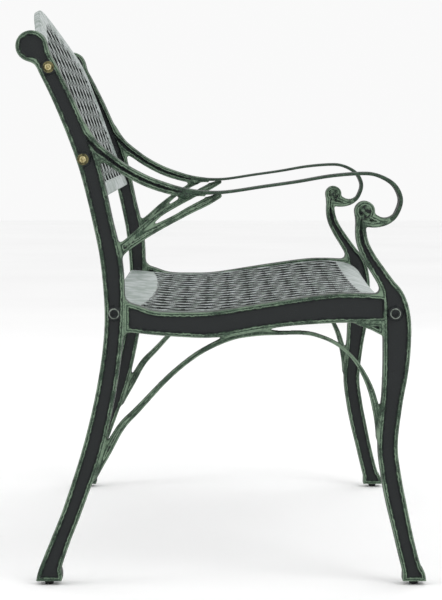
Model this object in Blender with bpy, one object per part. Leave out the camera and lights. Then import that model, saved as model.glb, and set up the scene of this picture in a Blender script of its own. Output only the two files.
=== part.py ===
"""Two-seat garden bench: four aluminium castings (two side frames, a seat panel and a back panel) bolted together.

Sizes are in millimetres until a mesh is made. The bench's length lies along X, its front faces -Y, and it stands
on Z = 0. The side view is drawn with y counted back from the front toes and z up from the floor.
"""

import math
from bisect import bisect

import bmesh
import bpy
from mathutils import Vector
from mathutils.geometry import delaunay_2d_cdt

MM = 0.001  # metres in a millimetre
GAP = 0.3  # left between two pieces that touch
SHARP_ANGLE = math.radians(35)  # steeper edges are shaded sharp
CIRCLE_POINTS = 16

# Overall sizes. The side view below is drawn at DRAWN_DEPTH by DRAWN_HEIGHT and stretched to these.
LENGTH = 1020.0  # over the arm rests
DEPTH = 598.0  # front toes to the back of the crest
HEIGHT = 851.0  # floor to the top of the crest
DRAWN_DEPTH = 598.0
DRAWN_HEIGHT = 851.0

# Side frame casting: its thicknesses along X, and the rim that stands round each sunk web.
FRAME_THICKNESS = 32.0
ARM_WIDTH = 45.0
BRACE_THICKNESS = 16.0
RIM_WIDTH = 6.5
WEB_RECESS = 4.0
HEAD_RADIUS = 22.2
VOLUTE_RADIUS = 14.6
VOLUTE_RIM = 5.4

# Side frame members, each a band along its centre line: (y, z, width).
POST = [
    (547.3, 0, 36), (544.5, 13, 36), (542.6, 27, 30), (526.6, 70, 27), (511, 110, 27), (482, 197, 29),
    (461, 289, 28), (450.5, 376, 27.5), (453, 458, 31), (465.6, 522, 28.6), (487, 610, 30), (518.8, 691, 28),
    (548, 751, 26.5), (563, 778, 24),
]  # fmt: skip
HEAD = (567.8, 776)
FRONT_LEG = [
    (93, 541, 13), (96.5, 524, 14), (94.5, 498, 16.5), (84, 474, 18), (60, 437, 22), (49, 414, 33), (44.5, 385, 40),
    (44, 345, 39.5), (46, 308, 36), (51, 262, 30), (56.5, 203, 28.5), (51, 155, 28.5), (43.8, 118, 28.5),
    (35.7, 82, 27), (26.9, 45, 26.7), (20.6, 22, 28), (17.8, 12, 33), (17.3, 0, 34.6),
]  # fmt: skip
SEAT_RAIL = [
    (452, 388, 42), (431, 387.5, 41), (394, 380, 34), (350, 377.5, 35.5), (308, 378, 37.5), (248, 387.5, 36.5),
    (200, 394.5, 37.5), (140.5, 400.5, 41.5), (105, 401.5, 42), (74, 401, 40), (62, 400, 38),
]  # fmt: skip
RAIL_CORNER = [(112, 381), (88, 372.5), (73.6, 365.4), (64, 350), (60, 400), (112, 400)]
ARM_ROOT = [
    (497, 655, 14), (478, 632, 17), (455, 613.7, 16), (433.5, 599, 15.4), (405, 584, 15.5), (376.6, 573.8, 14.8),
    (350, 567.5, 12.5), (322, 566.3, 7),
]  # fmt: skip
ARM_BAND = [
    (338, 566.5, 6.5), (293, 567.3, 4.2), (236, 575.7, 4), (188, 582.6, 4.2), (140.5, 590.7, 4.5),
    (96.7, 594.3, 4.8), (74, 592, 5.2), (53, 581.5, 6), (42.5, 567.5, 6.5), (40, 552, 6.2), (47.7, 533.5, 6.5),
]  # fmt: skip
LEAF = [(42, 545, 6), (47.7, 533.5, 6.5), (57, 527, 9), (68, 525, 13.5), (80, 527, 20), (92, 530, 22)]
VOLUTE = (91, 540.5)
UPPER_BRACE = [
    (456, 472, 10), (445, 483, 9), (429, 498, 9), (409, 516.5, 9), (383, 537.5, 7.8), (361, 551.5, 7.5), (343, 562, 8),
]  # fmt: skip
LOWER_BRACE = [
    (458, 470, 12), (436, 487, 12), (405, 507, 11), (381, 520.5, 10), (361, 531, 9.5), (341.6, 541.8, 10.5),
    (318, 553.5, 11), (300, 562.5, 8),
]  # fmt: skip
ARCH_BRACE = [
    (480, 158, 9), (462, 192, 12), (441, 229, 11), (416, 255.5, 9), (372, 301.8, 7), (328.4, 336.3, 6.8),
    (284, 357.5, 7.5), (248, 364.5, 8), (212, 365, 5.5), (176.4, 365, 5.3), (152.5, 359.5, 5), (128.6, 348.1, 5),
    (107, 329, 5), (92, 307, 7), (80, 280, 9), (73, 250, 9), (69, 215, 6),
]  # fmt: skip
BAND_STEPS = 2  # straight pieces from one drawn point to the next, and of a web or a brace:
THIN_STEPS = 1

# Feet: tapered plugs whose stems stand in the flared pads.
FOOT_HEIGHT = 5.7  # floor to the underside of the pads
FOOT_BOTTOM_RADIUS = 6.0
FOOT_TOP_RADIUS = 7.2
FOOT_STEM_RADIUS = 4.0
FOOT_STEM_LENGTH = 12.0
FOOT_Y = {"rear": 546.0, "front": 17.6}

# Bolts. Each runs along X from a side frame's outer face into the end of a panel, with its washer under its head.
SHANK_RADIUS = 3.0
SHANK_CLEARANCE = 0.3
BOLT_REACH = 17.0  # how far a bolt goes into its panel
BOSS_RADIUS = 10.0  # flat left standing in the web round a bolt
BACK_BOLTS = {"upper": (542.9, 745.9), "lower": (494.2, 614.6)}
BACK_HEAD_RADIUS = 4.8
BACK_HEAD_HEIGHT = 3.6
BACK_WASHER_RADIUS = 8.2
BACK_WASHER_THICKNESS = 1.6
SEAT_BOLTS = {"rear": (450.4, 393.7), "front": (46.7, 393.8)}
SEAT_HEAD_RADIUS = 5.9
SEAT_HEAD_HEIGHT = 3.8
SEAT_WASHER_RADIUS = 7.6
SEAT_WASHER_THICKNESS = 1.8

# Seat panel: its upper face in the side view, from the rolled front edge to the rear edge.
SEAT_PROFILE = [
    (40.3, 388), (44.5, 399), (55, 409), (71, 415.5), (92, 418.5), (112, 419), (152, 416), (212, 408), (260, 401.5),
    (308, 396.5), (345, 395), (381, 395.5), (408, 397.5), (428, 399), (446, 400.5), (463, 401.5),
]  # fmt: skip
SEAT_THICKNESS = 7.0
SEAT_DISH = 10.0  # how far the middle of the front lies below its ends
SEAT_FRONT_BAND = 62.0  # along the profile, rolled edge included
SEAT_REAR_BAND = 44.0  # at its ends
SEAT_REAR_BOW = 17.0  # how much deeper the rear band is in its middle
SEAT_SIDE_BORDER = 9.0
SEAT_CELLS = (16, 5)  # diamonds across the length and the depth
FRONT_BAND_ROWS = 6  # flat pieces that the bands are bent from
REAR_BAND_ROWS = 3
SEAT_STRIP = 10.0
SEAT_STRIP_TUCK = 3.0  # the strips run this far into the bands and borders
SEAT_STRIP_INSET = 0.8  # the strips lie this far inside both faces of the bands
LUG_LENGTH = 22.0  # along X
LUG_DROP = 10.0  # below the bolt's axis
LUG_SPANS = {"rear": (-11.0, 11.0), "front": (-6.0, 16.0)}  # before and behind the bolt's axis
LUG_STEPS = 60

# Back panel: the middle of its thickness in the side view, from the foot of its rail to the crest.
BACK_PROFILE = [(472.3, 556.5), (494.2, 614.6), (542.9, 745.9), (593.2, 848.6)]
BACK_THICKNESS = 10.6
BACK_RAIL = 21.0
BACK_STILE = 24.0
CREST_BAND = 27.0
CREST_DROP = 80.0  # from the middle of the crest to its ends
CREST_NOSE = 120.0  # how gently the crest turns in its middle
BACK_PITCH = (93.0, 50.0)  # diamonds of the lattice, across and up
BACK_STRIP = 7.5
BACK_STRIP_THICKNESS = 5.0
CREST_STEPS = 20
STILE_ROWS = 5
PROFILE_STEPS = 4  # straight pieces from one drawn point of a profile to the next

FRAME_X = (LENGTH - ARM_WIDTH) / 2  # middle of a side frame
OUTER_FACE = FRAME_X + FRAME_THICKNESS / 2
PANEL_END = FRAME_X - FRAME_THICKNESS / 2 - GAP
HOLE_RADIUS = SHANK_RADIUS + SHANK_CLEARANCE
SIDES = {"left": -1, "right": 1}

COLOURS = {  # linear red, green and blue, metallic, roughness
    "verdigris_casting": ((0.10, 0.15, 0.11), 0.35, 0.55),
    "grey_green_casting": ((0.45, 0.50, 0.46), 0.35, 0.5),
    "brass": ((0.62, 0.48, 0.22), 1.0, 0.35),
    "bronze": ((0.16, 0.14, 0.07), 0.8, 0.5),
    "black_steel": ((0.015, 0.017, 0.017), 0.6, 0.45),
    "zinc": ((0.35, 0.38, 0.35), 0.8, 0.45),
    "black_plastic": ((0.004, 0.004, 0.005), 0.0, 0.5),
}


def clear_scene():
    """Removes every object."""
    for obj in list(bpy.data.objects):
        bpy.data.objects.remove(obj, do_unlink=True)


def material(name):
    """The material of this name, made once."""
    found = bpy.data.materials.get(name)
    if found:
        return found
    colour, metallic, roughness = COLOURS[name]
    made = bpy.data.materials.new(name)
    made.use_nodes = True
    shader = made.node_tree.nodes["Principled BSDF"]
    shader.inputs["Base Color"].default_value = (*colour, 1.0)
    shader.inputs["Metallic"].default_value = metallic
    shader.inputs["Roughness"].default_value = roughness
    return made


def side(y, z):
    """A drawn point of the side view, as the bench's own Y and Z."""
    return (y / DRAWN_DEPTH - 0.5) * DEPTH, z / DRAWN_HEIGHT * HEIGHT


def curve(points, steps):
    """A smooth curve through the points (Catmull-Rom), with this many pieces between each two."""
    ends = [points[0], *points, points[-1]]
    smooth = []
    for four in zip(ends, ends[1:], ends[2:], ends[3:], strict=False):
        for i in range(steps):
            t = i / steps
            smooth.append(
                tuple(
                    ((3 * (b - c) + d - a) * t**3 + (2 * a - 5 * b + 4 * c - d) * t**2 + (c - a) * t) / 2 + b
                    for a, b, c, d in zip(*four, strict=True)
                )
            )
    return [*smooth, tuple(points[-1])]


def band(member, steps=BAND_STEPS, trim=0.0):
    """The outline of a member in Y and Z, narrowed by trim on each edge. It stops above the feet."""
    line = [(*side(y, z), width) for y, z, width in curve(member, steps)]
    lowest = FOOT_HEIGHT + trim
    near, far = [], []
    for i, (y, z, width) in enumerate(line):
        before, after = line[max(i - 1, 0)], line[min(i + 1, len(line) - 1)]
        along = Vector((after[0] - before[0], after[1] - before[1])).normalized()
        across = Vector((along.y, -along.x)) * (width / 2 - trim)
        near.append((y + across.x, max(z + across.y, lowest)))
        far.append((y - across.x, max(z - across.y, lowest)))
    return [*near, *reversed(far)]


def disc(centre, radius):
    """A round outline in Y and Z about a drawn point."""
    y, z = side(*centre)
    turns = [math.tau * i / CIRCLE_POINTS for i in range(CIRCLE_POINTS)]
    return [(y + radius * math.cos(turn), z + radius * math.sin(turn)) for turn in turns]


def grid(low, high, columns, rows):
    """The outlines of equal rectangles that fill the space between two corners."""
    us = [low[0] + (high[0] - low[0]) * i / columns for i in range(columns + 1)]
    vs = [low[1] + (high[1] - low[1]) * i / rows for i in range(rows + 1)]
    return [
        [(us[i], vs[j]), (us[i + 1], vs[j]), (us[i + 1], vs[j + 1]), (us[i], vs[j + 1])]
        for i in range(columns)
        for j in range(rows)
    ]


def signed_area(outline):
    """The area of an outline, positive when it runs anticlockwise."""
    return sum(a[0] * b[1] - b[0] * a[1] for a, b in zip(outline, [*outline[1:], outline[0]], strict=True)) / 2


def goes_round(outline, u, v):
    """Whether an outline goes round a point."""
    turns = 0
    for (a_u, a_v), (b_u, b_v) in zip(outline, [*outline[1:], outline[0]], strict=True):
        if (a_v <= v) != (b_v <= v) and ((b_u - a_u) * (v - a_v) > (u - a_u) * (b_v - a_v)) == (b_v > a_v):
            turns += 1 if b_v > a_v else -1
    return turns != 0


def flat_faces(shapes):
    """Joins overlapping shapes into triangles that share their corners.

    Each shape is (outline, low, high), and the last one over a spot sets its two levels. A shape whose levels are
    None is a hole. Returns the points, and each triangle as (corners, low, high).
    """
    points, edges = [], []
    for outline, _, _ in shapes:
        first = len(points)
        points += [Vector(point) for point in outline]
        edges += [(first + i, first + (i + 1) % len(outline)) for i in range(len(outline))]
    found, _, triangles, _, _, _ = delaunay_2d_cdt(points, edges, [], 0, 1e-3)
    faces = []
    for corners in triangles:
        middle = sum((found[corner] for corner in corners), Vector((0, 0))) / 3
        over = [shape for shape in shapes if goes_round(shape[0], *middle)]
        if over and over[-1][1] is not None:
            faces.append((corners, *over[-1][1:]))
    return found, faces


def plate(shapes, place):
    """A closed body of flat shapes, as a bmesh in millimetres. place turns (u, v, level) into a point."""
    points, faces = flat_faces(shapes)
    bm = bmesh.new()
    corners_made = {}
    levels = {}
    beside = {}
    for corners, low, high in faces:
        for a, b in zip(corners, [*corners[1:], corners[0]], strict=True):
            levels.setdefault(a, set()).update((low, high))
            beside[a, b] = (low, high)

    def corner(point, level):
        if (point, level) not in corners_made:
            corners_made[point, level] = bm.verts.new(place(*points[point], level))
        return corners_made[point, level]

    def wall(a, b, low, high):
        up = [corner(b, level) for level in sorted(levels[b]) if low <= level <= high]
        down = [corner(a, level) for level in sorted(levels[a], reverse=True) if low <= level <= high]
        bm.faces.new([*up, *down])

    for corners, low, high in faces:
        bm.faces.new([corner(point, high) for point in corners])
        bm.faces.new([corner(point, low) for point in reversed(corners)])
    for (a, b), (low, high) in beside.items():
        if (b, a) not in beside:
            wall(a, b, low, high)
            continue
        other_low, other_high = beside[b, a]
        if high > other_high:
            wall(a, b, other_high, high)
        if low < other_low:
            wall(a, b, low, other_low)
    return bm


def new_object(name, bm, finish, place=(0, 0, 0)):
    """Makes an object of a bmesh in millimetres, and shades it smooth between its sharp edges."""
    bmesh.ops.scale(bm, vec=(MM, MM, MM), verts=bm.verts)
    mesh = bpy.data.meshes.new(name)
    bm.to_mesh(mesh)
    bm.free()
    mesh.materials.append(material(finish))
    mesh.shade_smooth()
    mesh.set_sharp_from_angle(angle=SHARP_ANGLE)
    obj = bpy.data.objects.new(name, mesh)
    obj.location = Vector(place) * MM
    bpy.context.scene.collection.objects.link(obj)
    return obj


def boolean(obj, other, operation):
    """Adds or cuts another object with a Boolean modifier, and keeps that other object out of the render."""
    other.hide_render = True
    other.display_type = "WIRE"
    modifier = obj.modifiers.new(other.name, "BOOLEAN")
    modifier.operation = operation
    modifier.solver = "EXACT"
    modifier.object = other


def turned(profile, axis):
    """A solid turned about the X or Z axis from (distance along it, radius) pairs that start and end on it."""
    bm = bmesh.new()
    turn = [math.tau * i / CIRCLE_POINTS for i in range(CIRCLE_POINTS)]
    rings = []
    for along, radius in profile:
        if radius == 0:
            rings.append([bm.verts.new((along, 0, 0))])
        else:
            rings.append([bm.verts.new((along, radius * math.cos(t), radius * math.sin(t))) for t in turn])
    for lower, upper in zip(rings, rings[1:], strict=False):
        for i in range(CIRCLE_POINTS):
            j = (i + 1) % CIRCLE_POINTS
            corners = [lower[i % len(lower)], lower[j % len(lower)], upper[j % len(upper)], upper[i % len(upper)]]
            bm.faces.new(list(dict.fromkeys(corners)))
    if axis == "Z":
        for vert in bm.verts:
            vert.co = Vector((vert.co.y, vert.co.z, vert.co.x))
    bmesh.ops.recalc_face_normals(bm, faces=bm.faces)
    return bm


def ring(inner, outer, low, high):
    """A washer turned about X, between two distances along it."""
    bm = bmesh.new()
    turn = [math.tau * i / CIRCLE_POINTS for i in range(CIRCLE_POINTS)]
    section = [(low, inner), (low, outer), (high, outer), (high, inner)]
    rings = [[bm.verts.new((x, r * math.cos(t), r * math.sin(t))) for t in turn] for x, r in section]
    for first, second in zip(rings, [*rings[1:], rings[0]], strict=True):
        for i in range(CIRCLE_POINTS):
            j = (i + 1) % CIRCLE_POINTS
            bm.faces.new((first[i], first[j], second[j], second[i]))
    bmesh.ops.recalc_face_normals(bm, faces=bm.faces)
    return bm


def hex_prism(across_flats, low, high):
    """A six-sided prism along X."""
    bm = bmesh.new()
    radius = across_flats / math.sqrt(3)
    corners = [(radius * math.cos(math.tau * i / 6), radius * math.sin(math.tau * i / 6)) for i in range(6)]
    ends = [[bm.verts.new((x, y, z)) for y, z in corners] for x in (low, high)]
    for i in range(6):
        j = (i + 1) % 6
        bm.faces.new((ends[0][i], ends[0][j], ends[1][j], ends[1][i]))
    for end in ends:
        bm.faces.new(end)
    bmesh.ops.recalc_face_normals(bm, faces=bm.faces)
    return bm


class Profile:
    """A panel's smooth line in the side view, measured by the distance along it."""

    def __init__(self, points):
        self.line = [Vector(side(*point)) for point in curve(points, PROFILE_STEPS)]
        self.at = [0.0]
        for a, b in zip(self.line, self.line[1:], strict=False):
            self.at.append(self.at[-1] + (b - a).length)
        last = len(self.line) - 1
        along = [self.line[min(i + 1, last)] - self.line[max(i - 1, 0)] for i in range(last + 1)]
        self.lift = [Vector((-way.y, way.x)).normalized() for way in along]
        self.length = self.at[-1]

    def point(self, distance, height):
        """The Y and Z at a distance along the profile, raised off it to its left."""
        i = min(max(bisect(self.at, distance), 1), len(self.at) - 1)
        share = (distance - self.at[i - 1]) / (self.at[i] - self.at[i - 1])
        lift = self.lift[i - 1].lerp(self.lift[i], min(max(share, 0), 1)).normalized()
        return self.line[i - 1] + (self.line[i] - self.line[i - 1]) * share + lift * height


def clip(outline, field):
    """The part of a convex outline inside a convex field that runs anticlockwise."""
    for a, b in zip(field, [*field[1:], field[0]], strict=True):
        inward = Vector((a[1] - b[1], b[0] - a[0]))
        depth = [inward.dot(Vector(point) - Vector(a)) for point in outline]
        kept = []
        for i, point in enumerate(outline):
            j = (i + 1) % len(outline)
            if depth[i] >= 0:
                kept.append(point)
            if (depth[i] >= 0) != (depth[j] >= 0):
                kept.append(tuple(Vector(point).lerp(Vector(outline[j]), depth[i] / (depth[i] - depth[j]))))
        outline = kept
    return outline


def strips(starts, slope, width, field):
    """The outlines of a lattice's strips: one leaning each way from every start, as far as the field reaches.

    slope is how far a strip goes across for each millimetre that it goes up.
    """
    outlines = []
    for start in starts:
        for lean in (slope, -slope):
            way = Vector((lean, 1.0)).normalized()
            reach, across = way * LENGTH * 2, Vector((way.y, -way.x)) * width / 2
            start = Vector(start)
            corners = (start - reach + across, start + reach + across, start + reach - across, start - reach - across)
            outline = clip([tuple(corner) for corner in corners], field)
            if outline and abs(signed_area(outline)) > width**2:
                outlines.append(outline)
    return outlines


def bolt_places(axes):
    """Name, side sign, Y and Z of each bolt of a set."""
    for side_name, sign in SIDES.items():
        for name, axis in axes.items():
            yield f"{side_name}_{name}", sign, *side(*axis)


def side_frame(name, sign):
    """One side frame casting, with bolt holes through it and foot holes up into its pads."""
    full, web = FRAME_THICKNESS / 2, FRAME_THICKNESS / 2 - WEB_RECESS
    brace, arm = BRACE_THICKNESS / 2, ARM_WIDTH / 2
    bolts = [*BACK_BOLTS.values(), *SEAT_BOLTS.values()]
    webs = (POST, FRONT_LEG[5:], SEAT_RAIL[1:-1])
    shapes = [(band(member, THIN_STEPS), -brace, brace) for member in (UPPER_BRACE, LOWER_BRACE, ARCH_BRACE)]
    shapes += [(band(member), -full, full) for member in (POST, FRONT_LEG, SEAT_RAIL, ARM_ROOT, LEAF)]
    shapes += [([side(*point) for point in RAIL_CORNER], -full, full)]
    shapes += [(disc(HEAD, HEAD_RADIUS), -full, full), (disc(VOLUTE, VOLUTE_RADIUS), -full, full)]
    shapes += [(band(member, THIN_STEPS, RIM_WIDTH), -web, web) for member in webs]
    shapes += [(disc(HEAD, HEAD_RADIUS - RIM_WIDTH), -web, web)]
    shapes += [(disc(VOLUTE, VOLUTE_RADIUS - VOLUTE_RIM), -web, web)]
    shapes += [(disc(axis, BOSS_RADIUS), -full, full) for axis in bolts]
    shapes += [(band(ARM_BAND), -arm, arm)]
    shapes += [(disc(axis, HOLE_RADIUS), None, None) for axis in bolts]
    bm = plate(shapes, lambda y, z, level: (level, y, z))
    frame = new_object(name, bm, "verdigris_casting", (sign * FRAME_X, 0, 0))
    hole = FOOT_STEM_RADIUS + SHANK_CLEARANCE
    for foot, y in FOOT_Y.items():
        ends = [(0, 0), (0, hole), (FOOT_HEIGHT + FOOT_STEM_LENGTH + GAP, hole)]
        cutter = turned([*ends, (ends[-1][0], 0)], "Z")
        place = (sign * FRAME_X, side(y, 0)[0], 0)
        boolean(frame, new_object(f"{name}_{foot}_foot_hole", cutter, "zinc", place), "DIFFERENCE")
    return frame


def drill_ends(panel, axes):
    """Drills a panel's ends for its bolts."""
    for name, sign, y, z in bolt_places(axes):
        inner, outer = PANEL_END - BOLT_REACH - GAP, PANEL_END + GAP
        profile = [(inner, 0), (inner, HOLE_RADIUS), (outer, HOLE_RADIUS), (outer, 0)]
        cutter = turned([(sign * x, radius) for x, radius in profile], "X")
        boolean(panel, new_object(f"{panel.name}_{name}_hole", cutter, "zinc", (0, y, z)), "DIFFERENCE")


def seat_lug(profile, name, sign, y, z):
    """A lug round a seat bolt, up into the middle of the seat's thickness."""
    before, behind = LUG_SPANS[name.split("_")[1]]
    middle = [profile.point(profile.length * i / LUG_STEPS, -SEAT_THICKNESS / 2) for i in range(LUG_STEPS + 1)]
    top = [tuple(point) for point in middle if y + before < point.x < y + behind]
    outline = [*top, (y + behind, z - LUG_DROP), (y + before, z - LUG_DROP)]
    near, far = sorted((sign * (PANEL_END - LUG_LENGTH), sign * PANEL_END))
    bm = plate([(outline, near, far)], lambda u, v, level: (level, u, v))
    return new_object(f"seat_{name}_lug", bm, "grey_green_casting")


def seat_panel():
    """The seat casting: rolled front band, rear band, side borders and a lattice, with lugs under its ends."""
    profile = Profile(SEAT_PROFILE)
    front, rear = SEAT_FRONT_BAND, profile.length - SEAT_REAR_BAND
    inner_end = PANEL_END - SEAT_SIDE_BORDER
    pitch = (2 * inner_end / SEAT_CELLS[0], (rear - front) / SEAT_CELLS[1])
    half = SEAT_CELLS[0] // 2 + SEAT_CELLS[1]
    starts = [(i * pitch[0], front) for i in range(-half, half + 1)]
    edge, near, far = inner_end + SEAT_STRIP_TUCK, front - SEAT_STRIP_TUCK, rear + SEAT_STRIP_TUCK
    field = [(-edge, near), (edge, near), (edge, far), (-edge, far)]
    low, high = -SEAT_THICKNESS, 0.0
    shapes = [
        (outline, low + SEAT_STRIP_INSET, high - SEAT_STRIP_INSET)
        for outline in strips(starts, pitch[0] / pitch[1], SEAT_STRIP, field)
    ]
    columns = SEAT_CELLS[0] // 2
    across = [2 * i / SEAT_CELLS[0] - 1 for i in range(SEAT_CELLS[0] + 1)]
    bow = [(share * PANEL_END, rear - SEAT_REAR_BOW * (1 - share**2)) for share in across]
    shapes.append((bow, low, high))
    cells = grid((-PANEL_END, 0), (PANEL_END, front), columns, FRONT_BAND_ROWS)
    cells += grid((-PANEL_END, rear), (PANEL_END, profile.length), columns, REAR_BAND_ROWS)
    for start in (-PANEL_END, inner_end):
        cells += grid((start, front), (start + SEAT_SIDE_BORDER, rear), 1, SEAT_CELLS[1])
    shapes += [(cell, low, high) for cell in cells]

    def place(u, v, level):
        y, z = profile.point(v, level)
        fade = 1 - v / profile.length
        return u, y, z - SEAT_DISH * (1 - (u / PANEL_END) ** 2) * fade**2

    panel = new_object("seat_panel", plate(shapes, place), "grey_green_casting")
    for name, sign, y, z in bolt_places(SEAT_BOLTS):
        boolean(panel, seat_lug(profile, name, sign, y, z), "UNION")
    drill_ends(panel, SEAT_BOLTS)
    return panel


def back_panel():
    """The back casting: a lower rail, two stiles, an arched crest and a lattice between them."""
    profile = Profile(BACK_PROFILE)
    crest_share = CREST_DROP / (math.hypot(PANEL_END, CREST_NOSE) - CREST_NOSE)
    inner_end = PANEL_END - BACK_STILE

    def crest(u):
        return profile.length - crest_share * (math.hypot(u, CREST_NOSE) - CREST_NOSE)

    us = [inner_end * (2 * i / CREST_STEPS - 1) for i in range(CREST_STEPS + 1)]
    tops = [(u, crest(u)) for u in (-PANEL_END, *us, PANEL_END)]
    underside = [(u, crest(u) - CREST_BAND) for u in reversed(us)]
    ends = [(u, crest(u) - CREST_BAND) for u in (PANEL_END, -PANEL_END)]
    field = [(-inner_end, BACK_RAIL), (inner_end, BACK_RAIL), *underside]
    half = round(LENGTH / BACK_PITCH[0])
    starts = [((i + 0.5) * BACK_PITCH[0], BACK_RAIL) for i in range(-half, half)]
    full, thin = BACK_THICKNESS / 2, BACK_STRIP_THICKNESS / 2
    lattice = strips(starts, BACK_PITCH[0] / BACK_PITCH[1], BACK_STRIP, field)
    shapes = [(outline, -thin, thin) for outline in lattice]
    cells = grid((-PANEL_END, 0), (PANEL_END, BACK_RAIL), 2, 1)
    stile_top = crest(PANEL_END) - CREST_BAND / 2
    for start in (-PANEL_END, inner_end):
        cells += grid((start, BACK_RAIL), (start + BACK_STILE, stile_top), 1, STILE_ROWS)
    shapes += [(outline, -full, full) for outline in (*cells, [*tops, ends[0], *underside, ends[1]])]
    bm = plate(shapes, lambda u, v, level: (u, *profile.point(v, level)))
    panel = new_object("back_panel", bm, "grey_green_casting")
    drill_ends(panel, BACK_BOLTS)
    return panel


def bolts_and_washers(kind, axes, head, washer):
    """The bolts and washers of one panel. head and washer are (radius, height, finish)."""
    head_radius, head_height, head_finish = head
    washer_radius, washer_height, washer_finish = washer
    seat = GAP + washer_height + GAP  # from the frame's face to the underside of the head
    tip = -(FRAME_THICKNESS + GAP + BOLT_REACH)
    edge = head_height * 0.3
    profile = [
        (tip, 0), (tip, SHANK_RADIUS), (seat, SHANK_RADIUS), (seat, head_radius),
        (seat + head_height - edge, head_radius), (seat + head_height, head_radius - edge), (seat + head_height, 0),
    ]  # fmt: skip
    for name, sign, y, z in bolt_places(axes):
        place = (sign * OUTER_FACE, y, z)
        bm = turned([(sign * x, radius) for x, radius in profile], "X")
        bolt = new_object(f"{kind}_bolt_{name}", bm, head_finish, place)
        socket = hex_prism(head_radius, sign * (seat + head_height * 0.4), sign * (seat + head_height + 1))
        boolean(bolt, new_object(f"{kind}_socket_{name}", socket, "zinc", place), "DIFFERENCE")
        hole = SHANK_RADIUS + SHANK_CLEARANCE
        bm = ring(hole, washer_radius, sign * GAP, sign * (GAP + washer_height))
        new_object(f"{kind}_washer_{name}", bm, washer_finish, place)


def feet():
    """The plug feet under the pads."""
    top = FOOT_HEIGHT - GAP
    profile = [
        (0, 0), (0, FOOT_BOTTOM_RADIUS), (top, FOOT_TOP_RADIUS), (top, FOOT_STEM_RADIUS),
        (top + FOOT_STEM_LENGTH, FOOT_STEM_RADIUS), (top + FOOT_STEM_LENGTH, 0),
    ]  # fmt: skip
    for side_name, sign in SIDES.items():
        for name, y in FOOT_Y.items():
            place = (sign * FRAME_X, side(y, 0)[0], 0)
            new_object(f"foot_{side_name}_{name}", turned(profile, "Z"), "black_plastic", place)


def main():
    """Builds the bench."""
    clear_scene()
    for side_name, sign in SIDES.items():
        side_frame(f"side_frame_{side_name}", sign)
    seat_panel()
    back_panel()
    bolts_and_washers(
        "back",
        BACK_BOLTS,
        (BACK_HEAD_RADIUS, BACK_HEAD_HEIGHT, "brass"),
        (BACK_WASHER_RADIUS, BACK_WASHER_THICKNESS, "bronze"),
    )
    bolts_and_washers(
        "seat",
        SEAT_BOLTS,
        (SEAT_HEAD_RADIUS, SEAT_HEAD_HEIGHT, "black_steel"),
        (SEAT_WASHER_RADIUS, SEAT_WASHER_THICKNESS, "zinc"),
    )
    feet()


main()
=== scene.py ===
"""Looks of a cast aluminium garden bench: two side frames, a seat panel, a back panel and what bolts them up.

Every casting is drawn flat as a field of signed depths (how far a spot lies inside the outline), cut out
along that field's zero line, given its relief from the same depths and then bent into its place. Sizes are
in millimetres until a mesh is made.
"""

import logging
import math
from collections.abc import Callable
from dataclasses import dataclass, field
from enum import Enum

import bmesh
import bpy
import numpy as np
from mathutils import Euler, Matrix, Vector, kdtree

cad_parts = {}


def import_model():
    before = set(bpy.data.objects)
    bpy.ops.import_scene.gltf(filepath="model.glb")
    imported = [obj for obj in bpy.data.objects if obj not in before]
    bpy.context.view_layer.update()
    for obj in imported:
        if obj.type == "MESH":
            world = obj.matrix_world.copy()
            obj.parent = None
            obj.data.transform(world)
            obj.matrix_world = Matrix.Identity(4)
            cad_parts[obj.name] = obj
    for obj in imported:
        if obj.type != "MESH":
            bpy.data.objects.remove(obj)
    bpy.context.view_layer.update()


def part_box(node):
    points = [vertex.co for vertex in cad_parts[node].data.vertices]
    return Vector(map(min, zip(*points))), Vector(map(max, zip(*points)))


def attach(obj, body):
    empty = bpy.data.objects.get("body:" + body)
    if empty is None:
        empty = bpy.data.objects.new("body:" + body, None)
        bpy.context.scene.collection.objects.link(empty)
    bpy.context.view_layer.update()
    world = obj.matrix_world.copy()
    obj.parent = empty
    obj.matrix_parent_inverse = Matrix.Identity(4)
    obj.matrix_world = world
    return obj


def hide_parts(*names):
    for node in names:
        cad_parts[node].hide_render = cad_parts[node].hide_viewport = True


LOG = logging.getLogger("bench")
MM = 0.001
OUTSIDE = -60.0  # the depth of a spot far outside every outline
SHARP = math.radians(42)  # steeper edges are shaded sharp
Points = list[tuple[float, ...]]
Array = np.ndarray
Value = float | tuple | bpy.types.NodeSocket


class Side(Enum):
    """An end of the bench, with the sign of its X."""

    LEFT = -1
    RIGHT = 1


class Slot(Enum):
    """The material slots of the bench's pieces."""

    FRAME = "frame_casting"
    PANEL = "panel_casting"
    BRASS_BOLT = "brass_bolt"
    BRASS_WASHER = "brass_washer"
    BLACK_BOLT = "black_bolt"
    ZINC_WASHER = "zinc_washer"
    FOOT = "plug_foot"


def linear(hex_colour: str) -> tuple[float, float, float, float]:
    """Turns an sRGB hex colour into the linear values that a shader takes.

    Args:
        hex_colour: Six hex digits after a hash.

    Returns:
        Linear red, green, blue and an alpha of one.
    """
    parts = [int(hex_colour[i : i + 2], 16) / 255 for i in (1, 3, 5)]
    red, green, blue = (
        part / 12.92 if part <= 0.04045 else ((part + 0.055) / 1.055) ** 2.4 for part in parts
    )
    return red, green, blue, 1.0


def ramp(values: Array, low: float, high: float) -> Array:
    """A smooth step from 0 at low to 1 at high.

    Args:
        values: What to read.
        low: Where the step starts.
        high: Where it ends.

    Returns:
        An array of shares between 0 and 1.
    """
    share = np.clip((values - low) / (high - low), 0, 1)
    return share * share * (3 - 2 * share)


def blended(first: Array, second: Array, fillet: float) -> Array:
    """The deeper of two depths, with a fillet where the two outlines meet.

    Args:
        first: One field of depths.
        second: The other.
        fillet: How far the fillet reaches, in mm.

    Returns:
        The field of the joined shape.
    """
    near = np.clip(fillet - np.abs(first - second), 0, None)
    return np.maximum(first, second) + near * near / (4 * fillet)


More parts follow.
